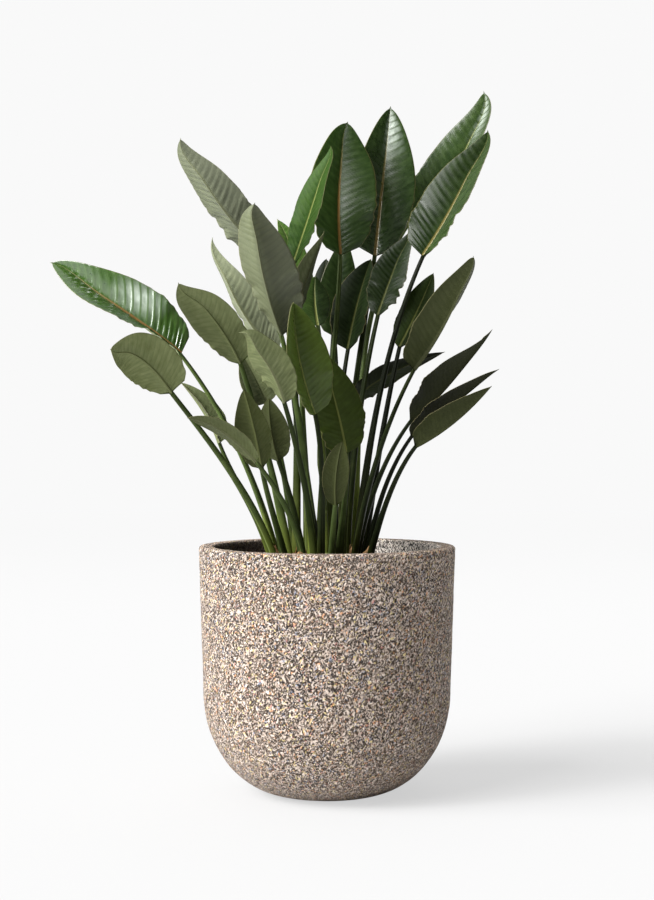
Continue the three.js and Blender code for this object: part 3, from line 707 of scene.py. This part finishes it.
def rib_half_width(leaf, along):
    return leaf.rib * RIB_WIDTH * lerp(1.0, 0.1, along ** 0.8) * math.sqrt(leaf.width / 90)


def vein_rows():
    """Where each row of the blade leaves the midrib, closer together towards the base and the tip."""
    count = VEINS * ROWS_PER_VEIN
    even = np.linspace(0.004, 0.988, count)
    eased = 0.5 - 0.5 * np.cos(np.pi * even)
    return 0.55 * even + 0.45 * eased


def hooked(leaf, along, place, side):
    """Places near the tip, swung aside by the leaf's hook in millimetres, so that the tip curls back."""
    reach = np.clip((along - HOOK_START) / (1 - HOOK_START), 0, 1)
    share = HOOK_SCALE * reach ** 3 * (1 - reach)
    return place - side * (leaf.hook * share)[..., None]


def half_blade(leaf, sign, starts, ridges, seed):
    """Places, normals and shares of length of one half of the blade's middle surface, row by row."""
    start, share = starts[:, None], HALF_SHARES[None, :]
    along = start + VEIN_SWEEP * share ** 1.25 * start ** 0.35 * (1 - start)
    place, tangent = follow(midrib_points(leaf), along)
    up, side = across(tangent, leaf.turn + leaf.twist * along)
    place = hooked(leaf, along, place, side)
    fold = math.radians(leaf.fold)
    rib = rib_half_width(leaf, along)
    half = leaf.width / 2 * (1 + sign * leaf.skew) * outline(leaf, along, sign)
    half = half * (1 + RAGGED * leaf.wave * share ** 3 * margin_wave(along, sign, seed + 3.1))
    half = np.maximum(half, rib * 1.05)
    outward = side * sign * math.cos(fold) + up * math.sin(fold)
    normal = up * math.cos(fold) - side * sign * math.sin(fold)
    offset = rib + share * (half - rib)
    fade = np.clip(share / RIDGE_RISE, 0, 1) * (1 - RIDGE_LOSS * share) * np.clip(half / NARROW, 0, 1)
    fade = fade * np.clip((1 - along) / TIP_CALM, 0, 1)
    lift = share ** 2 * (leaf.wave * margin_wave(along, sign, seed) - BLADE_DROOP * half)
    swell = np.sin(2 * np.pi * (1.15 * along + 0.37 * seed + (0.3 if sign > 0 else 0)))
    lift = lift + ridges[:, None] * fade + share * half * SWELL * swell
    place = place + outward * offset[..., None] + normal * lift[..., None]
    return place, normal, along


def stalk_rings(leaf):
    """Rings of vertices up the stalk, with a channel along its upper side, and their angles."""
    places, tangents = follow(stalk_points(leaf), STALK_STEPS)
    up, side = across(tangents, np.full(len(STALK_STEPS), float(leaf.turn)))
    angles = np.concatenate([UPPER_ANGLES, UNDER_ANGLES])
    rings = []
    for step, place, lift, aside in zip(STALK_STEPS, places, up, side):
        radius = stalk_radius(step)
        channel = 1 - lerp(0.12, 0.34, step) * np.exp(-((angles - np.pi / 2) / CHANNEL_WIDTH) ** 2)
        broad = 1 + (SHEATH_SPREAD - 1) * np.clip(1 - step / SHEATH_REACH, 0, 1) ** 0.7
        ring = place + np.outer(radius * broad * np.cos(angles) * channel, aside)
        rings.append(ring + np.outer(radius * STALK_FLATTENING * np.sin(angles) * channel, lift))
    return rings, angles


def leaf_rings(leaf, seed):
    """Rings of vertices from the stalk's foot to the blade's tip, and each vertex's attribute numbers."""
    rings, angles = stalk_rings(leaf)
    size = len(angles)
    blades = [np.column_stack([np.full(size, step - 1.0), np.sin(angles), angles]) for step in STALK_STEPS]
    ribs = [np.zeros(size) for _ in STALK_STEPS]
    maker = random.Random(seed)
    starts = vein_rows()
    pattern = VEIN_PROFILE[np.arange(len(starts)) % ROWS_PER_VEIN]
    uneven = np.array([maker.uniform(0.3, 1.7) for _ in range(VEINS)]).repeat(ROWS_PER_VEIN)
    ridges = leaf.ridge * pattern * uneven
    left, left_normal, left_along = half_blade(leaf, -1, starts, ridges, seed)
    right, right_normal, right_along = half_blade(leaf, 1, starts, ridges, seed + 1)
    centre, tangents = follow(midrib_points(leaf), starts)
    up, side = across(tangents, leaf.turn + leaf.twist * starts)
    centre = hooked(leaf, starts, centre, side)
    rib = rib_half_width(leaf, starts)
    thick = BLADE_THICKNESS / 2
    upper_shares = [-HALF_SHARES[::-1], [0], HALF_SHARES]
    signed = np.concatenate([*upper_shares, HALF_SHARES[::-1], [0, 0, 0], -HALF_SHARES])
    for row, start in enumerate(starts):
        groove = centre[row] - up[row] * rib[row] * 0.25
        depth = KEEL_DEPTH * (1 - start) ** 0.8 + 0.3
        keel = [centre[row] + side[row] * x * rib[row] - up[row] * depth * y
                for x, y in ((0.6, 0.78), (0.0, 1.0), (-0.6, 0.78))]
        rings.append(np.vstack([
            (left[row] + left_normal[row] * thick)[::-1], groove, right[row] + right_normal[row] * thick,
            (right[row] - right_normal[row] * thick)[::-1], *keel, left[row] - left_normal[row] * thick]))
        along = np.concatenate([left_along[row][::-1], [start], right_along[row], right_along[row][::-1],
                                [start] * len(keel), left_along[row]])
        blades.append(np.column_stack([along, signed, np.full(size, row / ROWS_PER_VEIN)]))
        ribs.append((np.abs(signed) < 0.01).astype(float))
    return rings, np.vstack(blades), np.concatenate(ribs)


def lofted(rings, tip):
    """Vertices and faces of a closed skin over rings of equal size, from a flat first ring to a tip point."""
    size = len(rings[0])
    points = np.vstack([*rings, tip])
    faces = [tuple(range(size))[::-1]] + ring_faces(len(rings), size)
    last = (len(rings) - 1) * size
    faces += [(last + column, last + (column + 1) % size, len(points) - 1) for column in range(size)]
    return points, faces


def make_leaf(leaf, seed, materials):
    rings, blades, ribs = leaf_rings(leaf, seed)
    points, faces = lofted(rings, np.array(leaf.tip, float))
    size, stalk_rows = len(rings[0]), len(STALK_STEPS)
    upper_count = 2 * len(HALF_SHARES)
    blade_row = [UPPER_SLOT if column < upper_count else UNDER_SLOT for column in range(size)]
    slots = [STALK_SLOT] * (1 + stalk_rows * size) + blade_row * (len(rings) - stalk_rows)
    piece = mesh_piece(leaf.name, points, faces, materials, slots)
    count = len(points)
    blades = np.vstack([blades, [1.0, 0.0, VEINS]])
    ribs = np.append(ribs, 0.0)
    on_stalk = np.arange(count) < stalk_rows * size
    # The blade's tone, partly painted shade, with painted light and shade making one half brighter and the
    # other darker.
    shades = leaf.tone * (1 + leaf.halves * np.clip(blades[:, 1] * 4, -1, 1))
    # The stalk's tone, partly painted shade on stalks that stand in shadow.
    tones = np.where(on_stalk, leaf.stem, shades)
    warmth = np.where(on_stalk, 0.0, leaf.warm)
    carry(piece, "blade", blades)
    carry(piece, "look", np.column_stack([tones, warmth, ribs]))
    finish = [leaf.red, leaf.gloss, seed * SEED_STEP]
    carry(piece, "finish", np.tile(finish, (count, 1)))
    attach(piece, "root")
    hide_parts("leaf_" + leaf.name)


def make_young_leaf(plant, material):
    """A leaf still rolled to a spear: its outer edge winds round it as a raised step."""
    angles = np.linspace(0, 2 * np.pi, 33)[:-1]
    rings = []
    for step in np.linspace(0, 1, 20):
        place, tangent = follow(stalk_points(plant), np.array([step]))
        up, side = across(tangent, np.zeros(1))
        round_it = np.outer(np.cos(angles), side) + np.outer(np.sin(angles) * 0.9, up)
        rings.append(place + stalk_radius(step) * round_it)
    for step in np.linspace(0.03, 0.985, 34):
        place, tangent = follow(midrib_points(plant), np.array([step]))
        up, side = across(tangent, np.zeros(1))
        radius = lerp(STALK_TOP_RADIUS, plant.thick, min(1, step / 0.3)) * (1 - step ** 3) ** 0.9
        wound = 1 + 0.16 * ((angles / (2 * np.pi) + 0.55 * step) % 1)
        round_it = np.outer(np.cos(angles) * wound, side) + np.outer(np.sin(angles) * wound, up)
        rings.append(place + radius * round_it)
    points, faces = lofted(rings, np.array(plant.tip, float))
    piece = mesh_piece("young_spear", points, faces, [material])
    count = len(points)
    rows = np.append(np.repeat(np.linspace(-1, 0.4, len(rings)), len(angles)), 0.4)
    tone, warm, red, gloss, seed = 1.4, 0.4, 0.0, 0.3, 5.0
    carry(piece, "blade", np.column_stack([rows, np.zeros(count), rows * 20]))
    carry(piece, "look", np.tile([tone, warm, 0.0], (count, 1)))
    carry(piece, "finish", np.tile([red, gloss, seed], (count, 1)))
    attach(piece, "root")
    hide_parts("young_leaf")


def make_leaves():
    """All leaves. Only those that turn their upper side to the viewer get the glossy one."""
    # The wet and glossy upper sides carry a painted highlight: a pale patch of glare.
    wet_upper = upper_side_material("wet_upper_side", 1.0, 0.28, glare_patch=(0.46, 0.6, 0.9))
    glossy_upper = upper_side_material("glossy_upper_side", 0.42, 0.32, glare_patch=(0.88, 0.3, 0.6))
    plain_upper = upper_side_material("plain_upper_side", 0.16, 0.34, grain=0.3)
    matt_upper = upper_side_material("matt_upper_side", 0.05, 0.40, grain=0.15)
    sheen_under = under_side_material("sheen_under_side", 0.4, 0.25)
    plain_under = under_side_material("plain_under_side", 0.05, 0.0)
    stalks = stalk_material()
    for number, leaf in enumerate(LEAVES):
        faces_viewer = abs(leaf.turn - 180) > 90
        under = sheen_under if leaf.gloss >= SHEEN_GLOSS else plain_under
        if leaf.dull:
            upper = under
        elif leaf.gloss >= WET_GLOSS:
            upper = wet_upper
        elif leaf.gloss >= HIGH_GLOSS and faces_viewer:
            upper = glossy_upper
        else:
            upper = matt_upper if leaf.gloss < LOW_GLOSS else plain_upper
        make_leaf(leaf, number + 1, [upper, under, stalks])
    make_young_leaf(YOUNG_LEAF, stalks)


# Pot

POT_SEGMENTS = 420
GRIT = 0.45


def bowl_radius(height, top_radius, flat_radius, bottom):
    drop = (SHOULDER_HEIGHT - height) / (SHOULDER_HEIGHT - bottom)
    return flat_radius + (top_radius - flat_radius) * math.sqrt(max(0, 1 - drop * drop))


def outer_radius(height):
    if height < SHOULDER_HEIGHT:
        return bowl_radius(height, SHOULDER_RADIUS, FOOT_RADIUS, 0)
    return lerp(SHOULDER_RADIUS, RIM_RADIUS, (height - SHOULDER_HEIGHT) / (POT_HEIGHT - SHOULDER_HEIGHT))


def inner_radius(height):
    if height >= SHOULDER_HEIGHT:
        return outer_radius(height) - WALL
    return bowl_radius(height, SHOULDER_RADIUS - WALL, INNER_FLAT_RADIUS, FLOOR)


def up_wall(radius_of, low, high, count):
    """Radius and height pairs on one face of the wall."""
    return [(radius_of(height), height) for height in np.linspace(low, high, count)]


def lip_arc(middle, start, end):
    """Radius and height pairs round one edge of the lip."""
    return [(middle + LIP * math.cos(angle), POT_HEIGHT - LIP + LIP * math.sin(angle))
            for angle in np.linspace(start, end, 5)]


def pot_profile():
    """Radius and height pairs round the wall's section, from the middle of the foot to that of the floor."""
    inside = RIM_RADIUS - WALL
    section = [(radius, 0.0) for radius in np.linspace(6, FOOT_RADIUS - 3, 16)]
    for turn in np.linspace(0.03, 1, 62):
        height = SHOULDER_HEIGHT * (1 - math.cos(turn * math.pi / 2))
        section.append((outer_radius(height), height))
    section += up_wall(outer_radius, SHOULDER_HEIGHT + 3.3, POT_HEIGHT - LIP, 64)
    section += lip_arc(RIM_RADIUS - LIP, 0.2, math.pi / 2)
    section += [(radius, POT_HEIGHT) for radius in np.linspace(RIM_RADIUS - LIP - 2.5, inside + LIP + 1, 6)]
    section += lip_arc(inside + LIP, math.pi / 2, math.pi - 0.2)
    section += up_wall(inner_radius, POT_HEIGHT - LIP - 2, SOIL_TOP - 14, 12)
    section += [(inner_radius(height), height) for height in (290, 225, 155, 100, 60, 40, 30)]
    section.append((INNER_FLAT_RADIUS - 4, FLOOR))
    return section


def revolved(section, segments, low_middle, high_middle):
    """Vertices and faces of a section turned about the axis, closed at both ends by a point on the axis."""
    angles = np.linspace(0, 2 * np.pi, segments, endpoint=False)
    rings = [np.column_stack([radius * np.cos(angles), radius * np.sin(angles), np.full(segments, height)])
             for radius, height in section]
    points = np.vstack([*rings, [0, 0, low_middle], [0, 0, high_middle]])
    faces = ring_faces(len(rings), segments)
    last = (len(rings) - 1) * segments
    for column in range(segments):
        following = (column + 1) % segments
        faces.append((following, column, len(points) - 2))
        faces.append((last + column, last + following, len(points) - 1))
    return points, faces


def gritty(points, amount):
    """Moves places by a fine noise, as chips stand out of a cast face. The foot stays flat."""
    moved = points.copy()
    for i, (x, y, z) in enumerate(points):
        if z < 0.5:
            continue
        grain = noise.noise(Vector((x, y, z)) * 0.42)
        swell = noise.noise(Vector((x, y, z)) * 0.035 + Vector((7, 3, 1)))
        out = Vector((x, y, 0)).normalized() * (amount * grain + 0.5 * swell)
        rise = amount * grain * 0.5 if z > POT_HEIGHT - 6 else 0
        moved[i] += np.array([out.x, out.y, rise])
    return moved


def drill_hole(pot, x, y):
    """Cuts one drain hole through the pot's floor, at a place in millimetres."""
    drill_mesh = bpy.data.meshes.new("drill")
    shape = bmesh.new()
    bmesh.ops.create_cone(shape, cap_ends=True, segments=32, radius1=DRAIN_RADIUS * MM,
                          radius2=DRAIN_RADIUS * MM, depth=3 * FLOOR * MM)
    shape.to_mesh(drill_mesh)
    shape.free()
    drill = placed("drill", drill_mesh)
    drill.location = (x * MM, y * MM, 0)
    cut = pot.modifiers.new("drain", "BOOLEAN")
    cut.operation = "DIFFERENCE"
    cut.object = drill
    cut.solver = "EXACT"
    bpy.context.view_layer.objects.active = pot
    bpy.ops.object.modifier_apply(modifier=cut.name)
    bpy.data.objects.remove(drill)


def make_pot(material):
    points, faces = revolved(pot_profile(), POT_SEGMENTS, 0.0, FLOOR)
    pot = mesh_piece("aggregate_pot", gritty(points, GRIT), faces, [material])
    for hole in range(DRAIN_HOLES):
        angle = (hole + 0.5) * 2 * math.pi / DRAIN_HOLES
        drill_hole(pot, DRAIN_RING_RADIUS * math.cos(angle), DRAIN_RING_RADIUS * math.sin(angle))
    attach(pot, "root")
    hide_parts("pot")


# Soil, chips and husks, in millimetres

SOIL_RADIUS = 170
SCATTER_RADIUS = 164
HUSK_COLUMNS = 9
HUSK_ROWS = 12
HUSK_THICKNESS = 0.5
BARE_FEET_SHARE = 0.4


def soil_height(x, y):
    """The soil's surface: low lumps, a slight dip at the wall and a slight mound round the stalks."""
    reach = math.hypot(x, y) / SOIL_RADIUS
    lumps = 2.2 * noise.noise(Vector((x, y, 0)) * 0.045) + 1.3 * noise.noise(Vector((x, y, 5)) * 0.16)
    crumbs = 0.6 * noise.noise(Vector((x, y, 9)) * 0.5)
    return SOIL_TOP + 1.5 - 5 * reach ** 3 + lumps + crumbs


def make_soil(material):
    bottom = GRAVEL_TOP + 2.0
    radii = np.concatenate([np.linspace(3, 150, 56), np.linspace(152.5, SOIL_RADIUS - 0.2, 8)])
    section = [(radius, bottom) for radius in (40.0, 100.0)]
    for height in (bottom, 100.0, 155.0, 225.0, 300.0, 340.0):
        section.append((inner_radius(height) - 0.5, height))
    section += [(radius, float(SOIL_TOP)) for radius in radii[::-1]]
    points, faces = revolved(section, 200, bottom, SOIL_TOP)
    for point in points:
        if point[2] > SOIL_TOP - 1:
            point[2] = soil_height(point[0], point[1])
    soil = mesh_piece("soil_bed", points, faces, [material])
    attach(soil, "root")
    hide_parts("soil")


def chip_shape(maker, size, flatness):
    """Vertices and faces of one small angular chip round its own middle."""
    shape = bmesh.new()
    bmesh.ops.create_icosphere(shape, subdivisions=1, radius=1.0)
    stretch = (maker.uniform(0.8, 1.9), maker.uniform(0.5, 1.0), flatness * maker.uniform(0.6, 1.2))
    turn = maker.uniform(0, math.tau)
    tilt = maker.uniform(-0.5, 0.5)
    points = []
    for vertex in shape.verts:
        x, y, z = (vertex.co[k] * stretch[k] * maker.uniform(0.75, 1.2) * size for k in range(3))
        z += x * math.sin(tilt)
        points.append((x * math.cos(turn) - y * math.sin(turn), x * math.sin(turn) + y * math.cos(turn), z))
    faces = [tuple(v.index for v in face.verts) for face in shape.faces]
    shape.free()
    return points, faces


def scattered(name, count, sizes, flatness, seed, material):
    """Many chips on the soil as one piece, each with its own tint."""
    maker = random.Random(seed)
    points, faces, tints = [], [], []
    for _ in range(count):
        reach, angle = SCATTER_RADIUS * math.sqrt(maker.random()), maker.uniform(0, math.tau)
        x, y = reach * math.cos(angle), reach * math.sin(angle)
        size = maker.uniform(*sizes)
        corners, sides = chip_shape(maker, size, flatness)
        level = soil_height(x, y) + size * flatness * 0.4
        first = len(points)
        points += [(x + a, y + b, level + c) for a, b, c in corners]
        faces += [tuple(first + k for k in side) for side in sides]
        tints += [maker.random()] * len(corners)
    piece = mesh_piece(name, points, faces, [material], smooth=False)
    carry(piece, "tint", tints)
    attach(piece, "root")


def husk(maker, plant):
    """Places and tints of one dry split sheath round a stalk's foot, row by row, with a ragged top."""
    places, tangents = follow(stalk_points(plant), np.linspace(0.1, 0.45, HUSK_ROWS))
    up, side = across(tangents, np.full(HUSK_ROWS, maker.uniform(0, 360)))
    height = maker.uniform(8, 30)
    spread = maker.uniform(0.7, 1.4)
    level = np.linspace(SOIL_TOP - 4, SOIL_TOP + height, HUSK_ROWS)
    tint = maker.random()
    points, tints = [], []
    for row in range(HUSK_ROWS):
        share = row / (HUSK_ROWS - 1)
        middle = np.array([np.interp(level[row], places[:, 2], places[:, k]) for k in range(3)])
        width = spread * (1 - share ** 2.5) + 0.08
        radius = SHEATH_SPREAD * STALK_ROOT_RADIUS + 0.6 + 1.6 * share ** 2
        for column in range(HUSK_COLUMNS):
            angle = (column / (HUSK_COLUMNS - 1) * 2 - 1) * width
            ragged = maker.uniform(-1, 1) * (1.2 + 3 * share)
            flat = side[row] * math.cos(angle) + up[row] * math.sin(angle)
            points.append(middle + flat * radius + np.array([0, 0, ragged]))
            tints.append(tint * 0.7 + 0.3 * share)
    return points, tints


def make_husks(material):
    """Husks round the feet of most stalks, as one piece."""
    maker = random.Random(11)
    points, faces, tints = [], [], []
    for plant in LEAVES:
        if maker.random() < BARE_FEET_SHARE:
            continue
        first = len(points)
        more_points, more_tints = husk(maker, plant)
        points += more_points
        tints += more_tints
        for row in range(HUSK_ROWS - 1):
            for column in range(HUSK_COLUMNS - 1):
                a = first + row * HUSK_COLUMNS + column
                faces.append((a, a + 1, a + 1 + HUSK_COLUMNS, a + HUSK_COLUMNS))
    piece = mesh_piece("dry_husks", points, faces, [material])
    carry(piece, "tint", tints)
    shell = piece.modifiers.new("thickness", "SOLIDIFY")
    shell.thickness = HUSK_THICKNESS * MM
    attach(piece, "root")


# Stage, lights and camera

def grey(level):
    return (level, level, level, 1)


def seen_or_lit(tree, lit, seen, kind):
    """Ends a node tree with one shader that the camera sees and another that lights the rest."""
    by_camera = node(tree, "LightPath", out="Is Camera Ray")
    node(tree, kind, {"Surface": node(tree, "MixShader", {0: by_camera, 1: lit, 2: seen})})


def empty_tree(owner):
    """The node tree of a material or world, with nothing in it yet."""
    owner.use_nodes = True
    owner.node_tree.nodes.clear()
    return owner.node_tree


def make_stage():
    """A pale floor that runs to the horizon. Part of it glows, so that the pot's shadow stays faint."""
    material = bpy.data.materials.new("pale_floor")
    tree = empty_tree(material)
    place = node(tree, "TexCoord", out="Object")
    reach = node(tree, "VectorMath", {0: place}, out="Value", operation="LENGTH")
    near = remap(reach, FADE_START, FADE_END, 1.0, 0.0, interpolation_type="SMOOTHSTEP")
    level = remap(near, 0.0, 1.0, BACKGROUND, FLOOR_GLOW)
    glow = node(tree, "Emission", {"Color": grey(1), "Strength": level})
    matte = node(tree, "BsdfDiffuse", {"Color": grey(FLOOR_WHITE)})
    shown = node(tree, "MixShader", {0: near * FLOOR_MATTE_SHARE, 1: glow, 2: matte})
    bounce = node(tree, "BsdfDiffuse", {"Color": grey(FLOOR_BOUNCE)})
    seen_or_lit(tree, bounce, shown, "OutputMaterial")
    far = FLOOR_REACH / MM
    corners = [(-far, -far, 0), (far, -far, 0), (far, far, 0), (-far, far, 0)]
    floor = mesh_piece("studio_floor", corners, [(0, 1, 2, 3)], [material], smooth=False)


def make_world():
    """Dim surroundings, softly bright to the left, behind and above. The camera sees a plain backdrop."""
    world = bpy.data.worlds.new("studio")
    bpy.context.scene.world = world
    tree = empty_tree(world)
    direction = node(tree, "TexCoord", out="Generated")
    strength = DIM_LEVEL
    for towards, level, narrowness in SOFT_LIGHTS:
        aim = tuple(Vector(towards).normalized())
        facing = node(tree, "VectorMath", {0: direction, 1: aim}, out="Value", operation="DOT_PRODUCT")
        strength = remap(facing, -0.3, 1.0) ** narrowness * level + strength
    light = node(tree, "Background", {"Color": grey(1), "Strength": strength})
    backdrop = node(tree, "Background", {"Color": grey(1), "Strength": BACKGROUND})
    seen_or_lit(tree, light, backdrop, "OutputWorld")


def make_lamp(name, strength, size):
    """A lamp at the left in front, as wide as its size in degrees."""
    lamp = bpy.data.lights.new(name, "SUN")
    lamp.energy = strength
    lamp.angle = math.radians(size)
    holder = placed(name, lamp)
    holder.rotation_mode = "QUATERNION"
    side, rise = math.radians(KEY_SIDE), math.radians(KEY_RISE)
    towards = Vector((-math.cos(rise) * math.sin(side), -math.cos(rise) * math.cos(side), math.sin(rise)))
    holder.rotation_quaternion = towards.to_track_quat("Z", "Y")


def make_camera():
    """The photograph's camera, level but for the small tilt that puts the horizon on its row."""
    lens = bpy.data.cameras.new("camera")
    focal_pixels = CAMERA_DISTANCE / METRES_PER_PIXEL
    lens.sensor_width = SENSOR
    lens.lens = focal_pixels / PHOTO_HEIGHT * SENSOR
    lens.clip_end = FARTHEST_SEEN
    camera = placed("camera", lens)
    camera.location = (0, -CAMERA_DISTANCE, CAMERA_HEIGHT)
    tilt = math.atan((PHOTO_HEIGHT / 2 - HORIZON_ROW) / focal_pixels)
    camera.rotation_euler = (math.pi / 2 - tilt, 0, 0)
    bpy.context.scene.camera = camera


make_camera()
make_world()
make_lamp("broad_key", KEY_STRENGTH, KEY_SIZE)
make_lamp("glint", GLINT_STRENGTH, GLINT_SIZE)
make_stage()
bpy.context.scene.view_settings.view_transform = "Standard"

make_leaves()
make_pot(aggregate_material())
make_soil(soil_material())
chips = bark_material("bark_chips", (0.012, 0.006, 0.003), (0.07, 0.030, 0.012), (0.22, 0.11, 0.05))
scattered("bark_chips", 420, (2.2, 7.5), 0.4, 3, chips)
beads = bark_material("pumice_beads", (0.28, 0.26, 0.22), (0.45, 0.42, 0.37), (0.68, 0.65, 0.6), 0.9)
scattered("pumice_beads", 90, (1.2, 2.6), 0.9, 4, beads)
make_husks(bark_material("dry_husk", (0.05, 0.018, 0.007), (0.20, 0.085, 0.03), (0.38, 0.24, 0.11)))
gravel_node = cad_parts["drainage_gravel"]
gravel_node.data.materials.clear()
gravel_node.data.materials.append(gravel_material())
